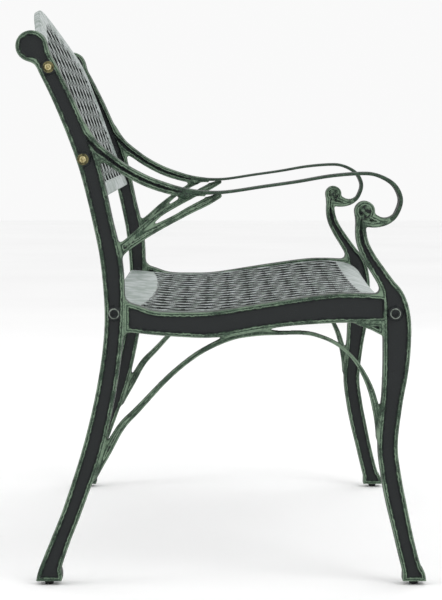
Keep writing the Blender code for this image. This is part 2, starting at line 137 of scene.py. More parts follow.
def smooth_line(points: Points, steps: int) -> Array:
    """A Catmull-Rom curve through points of any number of values.

    Args:
        points: The points.
        steps: Pieces between each two of them.

    Returns:
        One row for each point of the curve.
    """
    rows = np.array([points[0], *points, points[-1]], float)
    t = (np.arange(steps) / steps)[:, None]
    parts = []
    for a, b, c, d in zip(rows, rows[1:], rows[2:], rows[3:], strict=False):
        cubic, square = 3 * (b - c) + d - a, 2 * a - 5 * b + 4 * c - d
        parts.append((cubic * t**3 + square * t**2 + (c - a) * t) / 2 + b)
    return np.vstack([*parts, rows[-1:]])


# --- nodes and finishes ------------------------------------------------------------------------------------

SMOOTH = {"interpolation_type": "SMOOTHSTEP"}
COLOUR = {"output": 2, "data_type": "RGBA"}  # a mix of colours: 0 is its share, 6 and 7 the two colours


class Shading:
    """A material's node tree, filled node by node."""

    def __init__(self, name: str) -> None:
        """Starts a material with a Principled shader.

        Args:
            name: The material's name.
        """
        self.material = bpy.data.materials.new(name)
        self.material.use_nodes = True
        self.tree = self.material.node_tree
        self.shader = self.tree.nodes["Principled BSDF"]
        self.place = self.node("TexCoord", output="Object")

    def node(
        self, kind: str, inputs: dict[str | int, Value] | None = None, output: int | str = 0, **settings: str
    ) -> bpy.types.NodeSocket:
        """Adds one node.

        Args:
            kind: Its Blender type, without the ShaderNode in front.
            inputs: Input name or number to a value or to another node's output.
            output: Which of its outputs is wanted.
            settings: The node's own properties.

        Returns:
            That output.
        """
        made = self.tree.nodes.new(f"ShaderNode{kind}")
        for key, value in settings.items():
            setattr(made, key, value)
        self.fill(made, inputs or {})
        return made.outputs[output]

    def fill(self, node: bpy.types.Node, inputs: dict[str | int, Value]) -> None:
        """Sets a node's inputs to values, or links them to other nodes' outputs.

        Args:
            node: The node.
            inputs: Input name or number to a value or an output.
        """
        for key, value in inputs.items():
            if isinstance(value, bpy.types.NodeSocket):
                self.tree.links.new(value, node.inputs[key])
            else:
                node.inputs[key].default_value = value


@dataclass(frozen=True)
class Verdigris:
    """Sand-cast aluminium in charcoal paint, its raised rims brushed green and worn pale along two beads.

    It reads the casting's own "inset", how many mm a spot lies inside the edge of its member.
    """

    charcoal: str = "#171b1c"
    charcoal_dust: str = "#262b2b"
    deep_green: str = "#141f18"
    green: str = "#324737"
    pale: str = "#798f78"
    grain_mm: float = 1.5  # the sand's grain, which makes the brushed colour speckle
    chip_mm: float = 6.0  # the chips along the edge of the green
    patch_mm: float = 16.0  # how long a brushed stroke holds
    cloud_mm: float = 70.0  # where the whole rim was brushed harder or softer
    rim_mm: float = 5.8  # how far in the green reaches
    chip_reach_mm: float = 15.0  # how far the chips move the green's edge, over all of their noise
    grit_reach_mm: float = 2.0  # the same for the grain
    # each pale bead: its inset in mm, how much it follows the green's edge, and its half width in mm
    beads: tuple[tuple[float, float, float], ...] = ((1.0, 0.05, 1.4), (4.5, 0.35, 1.1))
    relief_mm: float = 0.5

    def make(self) -> bpy.types.Material:
        """Builds the material.

        Returns:
            The material.
        """
        s = Shading("cast_aluminium_verdigris")
        grain, patch, cloud, chip = (
            s.node("TexNoise", {
                "Vector": s.place, "Scale": 1 / (size * MM), "Detail": detail, "Roughness": rough,
            })
            for size, detail, rough in (
                (self.grain_mm, 5, 0.55), (self.patch_mm, 3, 0.55), (self.cloud_mm, 2, 0.55),
                (self.chip_mm, 5, 0.65),
            )
        )
        inset = s.node("Attribute", output="Fac", attribute_name="inset")
        wander: Value = -(self.chip_reach_mm + self.grit_reach_mm) / 2
        for noise, reach in ((chip, self.chip_reach_mm), (grain, self.grit_reach_mm)):
            wander = s.node("Math", {0: noise, 1: reach, 2: wander}, operation="MULTIPLY_ADD")
        speck = s.node("Math", {0: grain, 1: chip}, operation="ADD")
        painted = self.paint(s, grain, patch, speck, s.node("Math", {0: inset, 1: wander}, operation="ADD"))
        worn = self.wear(s, inset, wander, ((patch, 0.65), (cloud, 0.4), (grain, 0.35)))
        wall = self.wall(s, speck)
        painted = s.node("Mix", {0: wall, 6: painted, 7: linear(self.charcoal)}, **COLOUR)
        kept = s.node("Math", {0: wall, 1: -0.8, 2: 1.0}, operation="MULTIPLY_ADD")
        worn = s.node("Math", {0: worn, 1: kept}, operation="MULTIPLY")
        worn = s.node("Math", {0: worn, 1: 0.85}, operation="MULTIPLY")
        rough = s.node("MapRange", {"Value": grain, "To Min": 0.4, "To Max": 0.66})
        height = s.node("Math", {0: patch, 1: 0.8, 2: grain}, operation="MULTIPLY_ADD")
        s.fill(s.shader, {
            "Base Color": s.node("Mix", {0: worn, 6: painted, 7: linear(self.pale)}, **COLOUR),
            "Metallic": 0.0,
            "Roughness": rough,
            "Specular IOR Level": 0.3,
            "Normal": s.node("Bump", {"Height": height, "Distance": self.relief_mm * MM, "Strength": 1.0}),
        })
        return s.material

    def paint(self, s: Shading, grain: Value, patch: Value, speck: Value, ragged: Value) -> Value:
        """Speckled green on the rim and dusty charcoal inside it.

        Args:
            s: The material.
            grain: The sand's grain.
            patch: The brushed strokes.
            speck: The grain and the chips together, from 0 to 2.
            ragged: The inset with a wandering edge, in mm.

        Returns:
            The colour.
        """
        dust = s.node("Math", {
            0: s.node("MapRange", {"Value": grain, "From Min": 0.5, "From Max": 0.74}, **SMOOTH),
            1: s.node("MapRange", {"Value": patch, "From Min": 0.4, "From Max": 0.7}, **SMOOTH),
        }, operation="MULTIPLY")
        web = s.node("Mix", {0: dust, 6: linear(self.charcoal), 7: linear(self.charcoal_dust)}, **COLOUR)
        bright = s.node("MapRange", {"Value": speck, "From Min": 0.76, "From Max": 1.08}, **SMOOTH)
        greens = s.node("Mix", {0: bright, 6: linear(self.deep_green), 7: linear(self.green)}, **COLOUR)
        edge = {"Value": ragged, "From Min": self.rim_mm - 0.5, "From Max": self.rim_mm + 0.4}
        return s.node("Mix", {0: s.node("MapRange", edge, **SMOOTH), 6: greens, 7: web}, **COLOUR)

    def wear(self, s: Shading, inset: Value, wander: Value, brushed: tuple) -> Value:
        """How much each bead is worn pale, in strokes.

        Args:
            s: The material.
            inset: The inset in mm.
            wander: How far the green's edge wanders, in mm.
            brushed: Each noise of the strokes with its share.

        Returns:
            The wear, from 0 to 1.
        """
        worn: Value = 0.0
        for bead, pull, reach in self.beads:
            spot = s.node("Math", {0: wander, 1: pull, 2: inset}, operation="MULTIPLY_ADD")
            off = s.node("Math", {0: spot, 1: bead}, operation="SUBTRACT")
            line = s.node("MapRange", {
                "Value": s.node("Math", {0: off}, operation="ABSOLUTE"),
                "From Min": reach * 0.35, "From Max": reach, "To Min": 1.0, "To Max": 0.0,
            }, **SMOOTH)
            worn = s.node("Math", {0: worn, 1: line}, operation="MAXIMUM")
        strokes: Value = -0.2
        for noise, share in brushed:
            strokes = s.node("Math", {0: noise, 1: share, 2: strokes}, operation="MULTIPLY_ADD")
        held = s.node("MapRange", {"Value": strokes, "From Min": 0.36, "From Max": 0.6}, **SMOOTH)
        return s.node("Math", {0: worn, 1: held}, operation="MULTIPLY")

    def wall(self, s: Shading, speck: Value) -> Value:
        """How bare of green a wall between the two faces is, because the brush only caught its corners.

        Args:
            s: The material.
            speck: The grain and the chips together, from 0 to 2.

        Returns:
            0 on the faces and up to 0.9 on the walls.
        """
        across = s.node("SeparateXYZ", {"Vector": s.node("NewGeometry", output="Normal")}, "X")
        turned_away = s.node("MapRange", {
            "Value": s.node("Math", {0: across}, operation="ABSOLUTE"),
            "From Min": 0.15, "From Max": 0.5, "To Min": 1.0, "To Max": 0.0,
        }, **SMOOTH)
        bare = s.node("MapRange", {
            "Value": speck, "From Min": 0.92, "From Max": 1.2, "To Min": 0.9, "To Max": 0.3,
        }, **SMOOTH)
        return s.node("Math", {0: turned_away, 1: bare}, operation="MULTIPLY")


@dataclass(frozen=True)
class PanelPaint:
    """Cast aluminium, pale grey-green paint on its upper faces and bare charcoal undercoat on its flanks; on
    the seat's underside the same charcoal is painted shade.

    It reads the casting's own "face", which is 1 where the paint reached and is lowered on the seat's
    underside to paint shade there.
    """

    pale: str = "#a9b0af"
    mist: str = "#7c8982"
    warm: str = "#9a9ea0"
    # the flanks' charcoal undercoat, also used as painted shade on the seat's underside
    undercoat_and_shade: str = "#131816"
    grain_mm: float = 2.2
    blotch_mm: float = 26.0
    relief_mm: float = 0.3

    def make(self) -> bpy.types.Material:
        """Builds the material.

        Returns:
            The material.
        """
        s = Shading("cast_aluminium_grey_green")
        grain, blotch = (
            s.node("TexNoise", {
                "Vector": s.place, "Scale": 1 / (size * MM), "Detail": detail, "Roughness": rough,
            })
            for size, detail, rough in ((self.grain_mm, 5, 0.55), (self.blotch_mm, 4, 0.6))
        )
        cloudy = s.node("MapRange", {"Value": blotch, "From Min": 0.38, "From Max": 0.62}, **SMOOTH)
        body = s.node("Mix", {0: cloudy, 6: linear(self.mist), 7: linear(self.pale)}, **COLOUR)
        warmth = s.node("MapRange", {
            "Value": grain, "From Min": 0.5, "From Max": 0.72, "To Max": 0.5,
        }, **SMOOTH)
        body = s.node("Mix", {0: warmth, 6: body, 7: linear(self.warm)}, **COLOUR)
        face = s.node("Attribute", output="Fac", attribute_name="face")
        pale_cover_and_shade = s.node("Math", {0: grain, 1: 0.5, 2: face}, operation="MULTIPLY_ADD")
        pale_cover_and_shade = s.node("MapRange", {"Value": pale_cover_and_shade, "From Min": 0.6, "From Max": 0.9}, **SMOOTH)
        s.fill(s.shader, {
            # where this mask is low the charcoal shows: undercoat on the flanks, painted shade on the seat's
            # underside
            "Base Color": s.node("Mix", {0: pale_cover_and_shade, 6: linear(self.undercoat_and_shade), 7: body}, **COLOUR),
            "Metallic": 0.0,
            "Roughness": s.node("MapRange", {"Value": grain, "To Min": 0.38, "To Max": 0.6}),
            "Specular IOR Level": 0.35,
            "Normal": s.node("Bump", {"Height": grain, "Distance": self.relief_mm * MM, "Strength": 1.0}),
        })
        return s.material


@dataclass(frozen=True)
class Hardware:
    """A small turned or moulded piece: one body colour that dulls in patches, with fine marks."""

    name: str
    body: str
    dull: str
    metallic: float
    roughness: float
    grain_mm: float = 1.2
    relief_mm: float = 0.08

    def make(self) -> bpy.types.Material:
        """Builds the material.

        Returns:
            The material.
        """
        s = Shading(self.name)
        grain, patch = (
            s.node("TexNoise", {
                "Vector": s.place, "Scale": 1 / (size * MM), "Detail": detail, "Roughness": 0.55,
            })
            for size, detail in ((self.grain_mm, 4), (self.grain_mm * 4, 2))
        )
        dulled = s.node("MapRange", {"Value": patch, "From Min": 0.4, "From Max": 0.68}, **SMOOTH)
        marks = {"Value": grain, "To Min": self.roughness - 0.08, "To Max": self.roughness + 0.14}
        s.fill(s.shader, {
            "Base Color": s.node("Mix", {0: dulled, 6: linear(self.body), 7: linear(self.dull)}, **COLOUR),
            "Metallic": self.metallic,
            "Roughness": s.node("MapRange", marks),
            "Normal": s.node("Bump", {"Height": grain, "Distance": self.relief_mm * MM, "Strength": 1.0}),
        })
        return s.material


def finishes() -> dict[Slot, bpy.types.Material]:
    """Makes every finish of the bench once.

    Returns:
        The material of each slot.
    """
    return {
        Slot.FRAME: Verdigris().make(),
        Slot.PANEL: PanelPaint().make(),
        # yellow metal that still shines where a key has turned it
        Slot.BRASS_BOLT: Hardware("satin_brass", "#c8bd92", "#8d8258", 1.0, 0.42).make(),
        # the same metal gone brown-green in the weather
        Slot.BRASS_WASHER: Hardware("tarnished_brass", "#767150", "#3d3d2a", 0.8, 0.5).make(),
        # oil-blacked steel, which keeps a soft grey shine
        Slot.BLACK_BOLT: Hardware("blackened_steel", "#242829", "#151818", 0.7, 0.38).make(),
        # zinc plate under a chalky bloom
        Slot.ZINC_WASHER: Hardware("dull_zinc", "#8d958d", "#59615a", 0.7, 0.5).make(),
        # moulded plastic with a faint sheen
        Slot.FOOT: Hardware("black_plug_plastic", "#0d0e0f", "#17191a", 0.0, 0.42, 2.5).make(),
    }


def add_piece(
    name: str, mesh: bpy.types.Mesh, slot: Slot, looks: dict[Slot, bpy.types.Material], *nodes: str
) -> bpy.types.Object:
    """Puts a finished piece in the frame in place of its CAD nodes.

    Args:
        name: The piece's name.
        mesh: Its mesh, in metres and in place.
        slot: The slot it takes its finish from.
        looks: The material of each slot.
        nodes: The CAD nodes that it stands for.

    Returns:
        The piece.
    """
    mesh.materials.append(looks[slot])
    mesh.shade_smooth()
    mesh.set_sharp_from_angle(angle=SHARP)
    piece = bpy.data.objects.new(name, mesh)
    bpy.context.scene.collection.objects.link(piece)
    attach(piece, "root")
    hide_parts(*nodes)
    LOG.info("%s: %d faces", name, len(mesh.polygons))
    return piece


# --- drawing and cutting a casting -------------------------------------------------------------------------


@dataclass
class Drawing:
    """A flat field of depths on a square grid from a low to a high corner (u, v), in mm."""

    low: tuple[float, float]
    high: tuple[float, float]
    pitch: float  # the distance between two spots of the grid
    reach: float = 14.0  # how far outside a band its depths are worked out
    depth: Array = field(init=False)
    u: Array = field(init=False)
    v: Array = field(init=False)

    def __post_init__(self) -> None:
        """Lays out the grid."""
        us = np.arange(self.low[0], self.high[0] + self.pitch, self.pitch)
        vs = np.arange(self.low[1], self.high[1] + self.pitch, self.pitch)
        self.u, self.v = np.meshgrid(us, vs, indexing="ij")
        self.depth = np.full(self.u.shape, OUTSIDE)

    def band(self, line: Array) -> Array:
        """The field of a band whose rows are (u, v, width).

        Args:
            line: The band's centre line and its width along it.

        Returns:
            The field.
        """
        found = np.full(self.u.shape, OUTSIDE)
        for (u0, v0, w0), (u1, v1, w1) in zip(line, line[1:], strict=False):
            reach = max(w0, w1) / 2 + self.reach
            i0, i1 = self._span(min(u0, u1) - reach, max(u0, u1) + reach, 0)
            j0, j1 = self._span(min(v0, v1) - reach, max(v0, v1) + reach, 1)
            u, v = self.u[i0:i1, j0:j1], self.v[i0:i1, j0:j1]
            along = max((u1 - u0) ** 2 + (v1 - v0) ** 2, 1e-9)
            t = np.clip(((u - u0) * (u1 - u0) + (v - v0) * (v1 - v0)) / along, 0, 1)
            away = np.hypot(u - u0 - t * (u1 - u0), v - v0 - t * (v1 - v0))
            spot = found[i0:i1, j0:j1]
            np.maximum(spot, (w0 + t * (w1 - w0)) / 2 - away, out=spot)
        return found

    def disc(self, centre: tuple[float, float], radius: float) -> Array:
        """The field of a disc."""
        return radius - np.hypot(self.u - centre[0], self.v - centre[1])

    def _span(self, low: float, high: float, axis: int) -> tuple[int, int]:
        """The grid rows between two values along an axis."""
        start = int(max((low - self.low[axis]) / self.pitch, 0))
        return start, int(max((high - self.low[axis]) / self.pitch + 2, start + 1))


@dataclass
class Spots:
    """The corners of a cut-out casting, each with its place, its depth and the other fields read there."""

    u: Array
    v: Array
    depth: Array
    more: list[Array]


class Casting:
    """A drawing cut out along its zero line, with the same relief or another on each of its two faces."""

    SNAP = 0.14  # a spot nearer the line than this share of the grid is moved off it
    TRUE_FROM = (1.5, 4.0)  # between these depths, in mm, the search takes over from the field

    def __init__(self, drawing: Drawing, *more: Array) -> None:
        """Cuts the drawing out.

        Args:
            drawing: The drawing, with its depths filled in.
            more: Other fields to read at every corner.
        """
        limit = self.SNAP * drawing.pitch
        depth = np.where(np.abs(drawing.depth) < limit, np.copysign(limit, drawing.depth), drawing.depth)
        inside = depth > 0
        count = int(inside.sum())
        number = np.full(depth.shape, -1)
        number[inside] = np.arange(count)
        fields = (drawing.u, drawing.v, depth, *more)
        self.crossings: dict[tuple[int, int, int, int], int] = {}
        self.extra: list[list[float]] = []
        self.count = count
        corners = np.stack([inside[:-1, :-1], inside[1:, :-1], inside[1:, 1:], inside[:-1, 1:]])
        whole = corners.all(axis=0)
        ids = [number[:-1, :-1], number[1:, :-1], number[1:, 1:], number[:-1, 1:]]
        self.faces = np.stack([each[whole] for each in ids], axis=1).tolist()
        self.rims: list[tuple[int, int]] = []
        for i, j in np.argwhere(corners.any(axis=0) & ~whole).tolist():
            self._edge_cell(i, j, inside, number, fields)
        extra = np.array(self.extra).T
        u, v, deep, *others = (np.concatenate([a[inside], b]) for a, b in zip(fields, extra, strict=True))
        self.spots = Spots(u, v, self._true_depth(u, v, deep), others)

    def _edge_cell(self, i: int, j: int, inside: Array, number: Array, fields: tuple) -> None:
        """Adds the part of one grid square that lies inside the outline.

        Args:
            i: The square's row.
            j: Its column.
            inside: Which spots of the grid lie inside.
            number: The corner number of each of them.
            fields: The fields to read where the outline crosses the grid.
        """
        ring = [(i, j), (i + 1, j), (i + 1, j + 1), (i, j + 1)]
        corners: list[tuple[int, bool]] = []
        for a, b in zip(ring, [*ring[1:], ring[0]], strict=True):
            if inside[a]:
                corners.append((int(number[a]), False))
            if inside[a] != inside[b]:
                corners.append((self._crossing(a, b, fields), True))
        self.faces.append([corner for corner, _ in corners])
        first_inside = inside[ring[0]]
        marks = [corner for corner, crossing in corners if crossing]
        if not first_inside:
            marks = marks[1:] + marks[:1]
        self.rims += list(zip(marks[::2], marks[1::2], strict=True))

    def _crossing(self, a: tuple[int, int], b: tuple[int, int], fields: tuple) -> int:
        """The corner where the outline crosses the grid line from a to b, made once.

        Args:
            a: One spot.
            b: The spot next to it.
            fields: The fields to read at the crossing.

        Returns:
            The corner's number.
        """
        a, b = min(a, b), max(a, b)
        key = (*a, *b)
        if key not in self.crossings:
            depth = fields[2]
            share = float(depth[a] / (depth[a] - depth[b]))
            values = [float(each[a] + (each[b] - each[a]) * share) for each in fields]
            self.crossings[key] = self.count + len(self.extra)
            self.extra.append([*values[:2], 0.0, *values[3:]])
        return self.crossings[key]

    def _true_depth(self, u: Array, v: Array, depth: Array) -> Array:
        """The distance of each corner from the outline, by the field near it and by search further in.

        Args:
            u: The corners' u.
            v: Their v.
            depth: Their depths in the field.

        Returns:
            Their distances.
        """
        tree = kdtree.KDTree(len(self.extra))
        for index, values in enumerate(self.extra):
            tree.insert((*values[:2], 0), index)
        tree.balance()
        found = np.array([tree.find((a, b, 0))[2] for a, b in zip(u.tolist(), v.tolist(), strict=True)])
        share = ramp(found, *self.TRUE_FROM)
        return np.where(depth <= 0, 0, np.clip(depth, 0, None) * (1 - share) + found * share)

    def mesh(
        self, name: str, upper: Array, lower: Array, place: Callable[..., Array], masks: dict[str, tuple]
    ) -> bpy.types.Mesh:
        """Makes the closed mesh.

        Args:
            name: The mesh's name.
            upper: The level of each corner on the upper face.
            lower: The level of each corner on the lower face.
            place: Turns (u, v, level) arrays into rows of X, Y and Z in mm.
            masks: Mask name to its values on the upper and on the lower face.

        Returns:
            The mesh, in metres.
        """
        total = len(upper)
        s = self.spots
        points = np.vstack([place(s.u, s.v, upper), place(s.u, s.v, lower)]) * MM
        under = [[corner + total for corner in reversed(face)] for face in self.faces]
        walls = [[b, a, a + total, b + total] for a, b in self.rims]
        mesh = bpy.data.meshes.new(name)
        mesh.from_pydata(points.tolist(), [], [*self.faces, *under, *walls])
        for mask, (above, below) in masks.items():
            layer = mesh.attributes.new(mask, "FLOAT", "POINT")
            layer.data.foreach_set("value", np.concatenate([above, below]).astype(np.float32))
        mesh.validate()
        return mesh


def rounded(depth: Array, radius: float) -> Array:
    """How far a rounded edge falls below its face, at each depth inside the outline."""
    left = np.clip(radius - depth, 0, radius)
    return radius - np.sqrt(np.clip(radius * radius - left * left, 0, None))


def turned(
    profile: Points, count: int, sign: int, centre: Vector, up: bool = False
) -> tuple[list[tuple], list[list[int]]]:
    """The points and faces of a solid turned about an axis along X, or along Z.

    Args:
        profile: (distance along the axis, radius) pairs; a negative radius makes a hexagon that wide.
        count: Points round the axis, a multiple of six.
        sign: Which way the axis points.
        centre: Where distance 0 lies, in metres.
        up: Whether the axis is Z.

    Returns:
        The points in metres and the faces.
    """
    turns = np.arange(count) * math.tau / count
    six = 1 / np.cos((turns + 1e-9) % (math.pi / 3) - math.pi / 6)
    points, faces = [], []
    for along, radius in profile:
        round_it = np.full(count, radius) if radius >= 0 else -radius * six
        for turn, r in zip(turns, round_it, strict=True):
            a, b = r * math.cos(turn), r * math.sin(turn)
            offset = Vector((a, b, along)) if up else Vector((sign * along, sign * a, b))
            points.append(tuple(centre + offset * MM))
    for ring in range(len(profile) - 1):
        for i in range(count):
            j = (i + 1) % count
            base, over = ring * count, (ring + 1) * count
            faces.append([base + i, base + j, over + j, over + i])
    return points, faces


def turned_mesh(
    name: str, profile: Points, count: int, sign: int, centre: Vector, up: bool = False
) -> bpy.types.Mesh:
    """A mesh of a turned solid whose profile starts and ends on the axis, or closes on itself.

    Args:
        name: The mesh's name.
        profile: As for turned.
        count: Points round the axis.
        sign: Which way the axis points.
        centre: Where distance 0 lies, in metres.
        up: Whether the axis is Z.

    Returns:
        The mesh.
    """
    points, faces = turned(profile, count, sign, centre, up)
    if profile[0] != profile[-1]:
        faces = [list(reversed(range(count))), *faces, list(range(len(points) - count, len(points)))]
    mesh = bpy.data.meshes.new(name)
    mesh.from_pydata(points, [], faces)
    if profile[0] == profile[-1]:
        mend(mesh, lambda bm: bmesh.ops.remove_doubles(bm, verts=bm.verts, dist=1e-7))
    return mesh


def mend(mesh: bpy.types.Mesh, change: Callable[[bmesh.types.BMesh], object]) -> None:
    """Makes one change to a mesh.

    Args:
        mesh: The mesh.
        change: What is done to it.
    """
    bm = bmesh.new()
    bm.from_mesh(mesh)
    change(bm)
    bm.to_mesh(mesh)
    bm.free()


def face_out(mesh: bpy.types.Mesh) -> None:
    """Turns every face of a closed mesh outwards."""
    mend(mesh, lambda bm: bmesh.ops.recalc_face_normals(bm, faces=bm.faces))


# --- the castings ------------------------------------------------------------------------------------------


@dataclass
class SideFrame:
    """One end of the bench: a single casting of flat members with raised rims, and the arm rest strap.

    Members are drawn in the side view as (y, z, width), y counted back from the front toes.
    """

    side: Side
    depth: float = 598.0
    thickness: float = 32.0
    brace_thickness: float = 16.0
    strap_width: float = 45.0
    pitch: float = 1.35
    edge_radius: float = 2.6
    rim_width: float = 6.2
    rail_end: float = 450.0  # where the rail stops, inside the rear post
    rail_web: tuple[float, float] = (63.0, 430.0)  # the rail's web stops short of both legs
    web_end: float = 5.0  # how wide the rim across each end of that web is
    web_recess: float = 4.0
    pad_floor: float = 5.7
    margin: float = 6.0  # round the drawing
    top: float = 806.0  # of the drawing, just over the head
    steps: int = 8  # pieces between each two points of a member
    boss_radius: float = 10.0
    boss_fade: tuple[float, float] = (-1.0, 2.0)  # where the boss starts to sink and is down in the web
    rim_fade: tuple[float, float] = (-1.2, 1.6)  # the same for the rim, from its width
    head: tuple[float, float] = (567.8, 776.0)
    head_radius: float = 22.2
    volute: tuple[float, float] = (91.0, 540.5)
    volute_radius: float = 14.6
    volute_turns: float = 1.6
    leaf_rim: float = 2.5  # how much wider the rim is on the leaf
    scroll_depth: float = 1.6
    scroll_rim: float = 3.2  # the spiral stays this far inside the volute's edge
    scroll_line: tuple[float, float] = (0.7, 2.0)  # the half width of the groove's floor and of its mouth
    scroll_fade: tuple[float, float] = (-4.0, -2.0)  # where it fades out, from the volute's radius
    groove_from: tuple[float, float] = (1.5, 3.0)  # the groove between the beads fades in over these depths
    curl: tuple[float, float] = (110.0, 512.0)  # in front of and above this the green covers everything
    curl_inset: float = 5.4  # how deep inside its rim the curl is painted at most
    bead_groove: tuple[float, ...] = (1.6, 2.8, 3.4, 4.6)  # where the groove between the beads starts to end
    groove_depth: float = 0.7
    thickening: tuple[float, float] = (-5.0, 1.5)  # a thin brace grows into a thick member over these depths
    strap_taper: tuple[float, float] = (46.0, 26.0)  # how far the strap widens from its rear and front ends
    strap_trim: float = 0.3
    strap_steps: int = 10
    strap_points: int = 28
    strap_power: float = 0.42  # how square the strap's cross-section is
    strap_inset: float = 2.7
    post: Points = field(default_factory=lambda: [
        (547.3, 0, 36), (544.5, 13, 36), (542.6, 27, 30), (526.6, 70, 27), (511, 110, 27), (482, 197, 29),
        (461, 289, 28), (450.5, 376, 27.5), (453, 458, 31), (465.6, 522, 28.6), (487, 610, 30),
        (518.8, 691, 28), (548, 751, 26.5), (563, 778, 24),
    ])
    leg: Points = field(default_factory=lambda: [
        (93, 541, 13), (96.5, 524, 14), (94.5, 498, 16.5), (84, 474, 18), (60, 437, 22), (49, 414, 33),
        (44.5, 385, 40), (44, 345, 39.5), (46, 308, 36), (51, 262, 30), (56.5, 203, 28.5),
        (51, 155, 28.5), (43.8, 118, 28.5), (35.7, 82, 27), (26.9, 45, 26.7), (20.6, 22, 28),
        (17.8, 12, 33), (17.3, 0, 34.6),
    ])
    rail: Points = field(default_factory=lambda: [
        (452, 388, 42), (431, 387.5, 41), (394, 380, 34), (350, 377.5, 35.5), (308, 378, 37.5),
        (248, 387.5, 36.5), (200, 394.5, 37.5), (140.5, 400.5, 41.5), (105, 401.5, 42), (74, 401, 40),
        (62, 400, 38),
    ])
    rail_corner: Points = field(default_factory=lambda: [(64, 378, 30), (76, 384, 30), (92, 390, 30)])
    arm_root: Points = field(default_factory=lambda: [
        (497, 655, 14), (478, 632, 17), (455, 613.7, 16), (433.5, 599, 15.4), (405, 584, 15.5),
        (376.6, 573.8, 14.8), (350, 567.5, 12.5), (322, 566.3, 7),
    ])
    leaf: Points = field(default_factory=lambda: [
        (42, 545, 6), (47.7, 533.5, 6.5), (57, 527, 9), (68, 525, 13.5), (80, 527, 20), (92, 530, 22),
    ])
    strap: Points = field(default_factory=lambda: [
        (352, 568.6, 6.5), (338, 567.5, 6.5), (293, 567.5, 4.6), (236, 575.7, 4.4), (188, 582.6, 4.4),
        (140.5, 590.7, 4.7), (96.7, 594.3, 5), (74, 592, 5.4), (53, 581.5, 6), (42.5, 567.5, 6.5),
        (40, 552, 6.2), (47.7, 533.5, 6.5), (58, 527, 6.5),
    ])
    upper_brace: Points = field(default_factory=lambda: [
        (456, 472, 10), (445, 483, 9), (429, 498, 9), (409, 516.5, 9), (383, 537.5, 7.8), (361, 551.5, 7.5),
        (343, 562, 8),
    ])
    lower_brace: Points = field(default_factory=lambda: [
        (458, 470, 12), (436, 487, 12), (405, 507, 11), (381, 520.5, 10), (361, 531, 9.5),
        (341.6, 541.8, 10.5), (318, 553.5, 11), (300, 562.5, 8),
    ])
    arch_brace: Points = field(default_factory=lambda: [
        (480, 158, 9), (462, 192, 12), (441, 229, 11), (416, 255.5, 9), (372, 301.8, 7),
        (328.4, 336.3, 6.8), (284, 357.5, 7.5), (248, 364.5, 8), (212, 365, 5.5), (176.4, 365, 5.3),
        (152.5, 359.5, 5), (128.6, 348.1, 5), (107, 329, 5), (92, 307, 7), (80, 280, 9), (73, 250, 9),
        (69, 215, 6),
    ])

    def __post_init__(self) -> None:
        """Reads the frame's place from the CAD."""
        low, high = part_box(f"side_frame_{self.side.name.lower()}")
        self.middle = (low.x + high.x) / 2 / MM

    def place(self, y: Array, z: Array, level: Array) -> Array:
        """Turns drawn places and levels off the frame's middle plane into rows of X, Y and Z, in mm."""
        return np.stack([self.middle + level, y - self.depth / 2, z], axis=1)

    def drawing(self) -> tuple[Drawing, Array, Array]:
        """Draws the casting.

        Returns:
            The drawing of all of it, the depths of its thick members alone, and how far each spot lies from
            the edge of its own member, which is where the rims run.
        """
        sheet = Drawing((-self.margin, -self.margin), (self.depth, self.top), self.pitch)

        def member(points: Points) -> Array:
            """The field of one member."""
            return sheet.band(smooth_line(points, self.steps))

        post = blended(member(self.post), sheet.disc(self.head, self.head_radius), 10)
        leg, arm_root = member(self.leg), member(self.arm_root)
        rail = np.minimum(member(self.rail), self.rail_end - sheet.u)
        volute, leaf = sheet.disc(self.volute, self.volute_radius), member(self.leaf)
        corner = member(self.rail_corner)
        thick = post
        for each, fillet in ((leg, 8), (rail, 14), (corner, 6), (arm_root, 12), (leaf, 4), (volute, 4)):
            thick = blended(thick, each, fillet)
        whole = thick
        for brace in (self.upper_brace, self.lower_brace, self.arch_brace):
            whole = blended(whole, member(brace), 8)
        sheet.depth = np.minimum(whole, sheet.v - self.pad_floor)
        front, rear = self.rail_web
        rail_web = np.minimum(rail, np.minimum(rear - sheet.u, sheet.u - front) + self.web_end)
        own = np.maximum.reduce([post, leg, arm_root, volute, leaf - self.leaf_rim, rail_web])
        beside = np.minimum(whole, -np.maximum.reduce([post, leg, rail, leaf, volute]))
        inset = np.minimum(np.maximum(own, beside), sheet.v - self.pad_floor)
        return sheet, thick, inset

    def scroll(self, y: Array, z: Array) -> Array:
        """How far the volute's spiral groove sinks each spot.

        Args:
            y: The spots' y.
            z: Their z.

        Returns:
            Shares from 0 to 1.
        """
        away = np.hypot(y - self.volute[0], z - self.volute[1])
        turn = np.arctan2(z - self.volute[1], y - self.volute[0]) / math.tau
        step = (self.volute_radius - self.scroll_rim) / self.volute_turns
        line = np.abs((away / step - turn + 0.5) % 1 - 0.5) * step
        fade = ramp(away - self.volute_radius, *self.scroll_fade)
        return (1 - ramp(line, *self.scroll_line)) * (1 - fade)

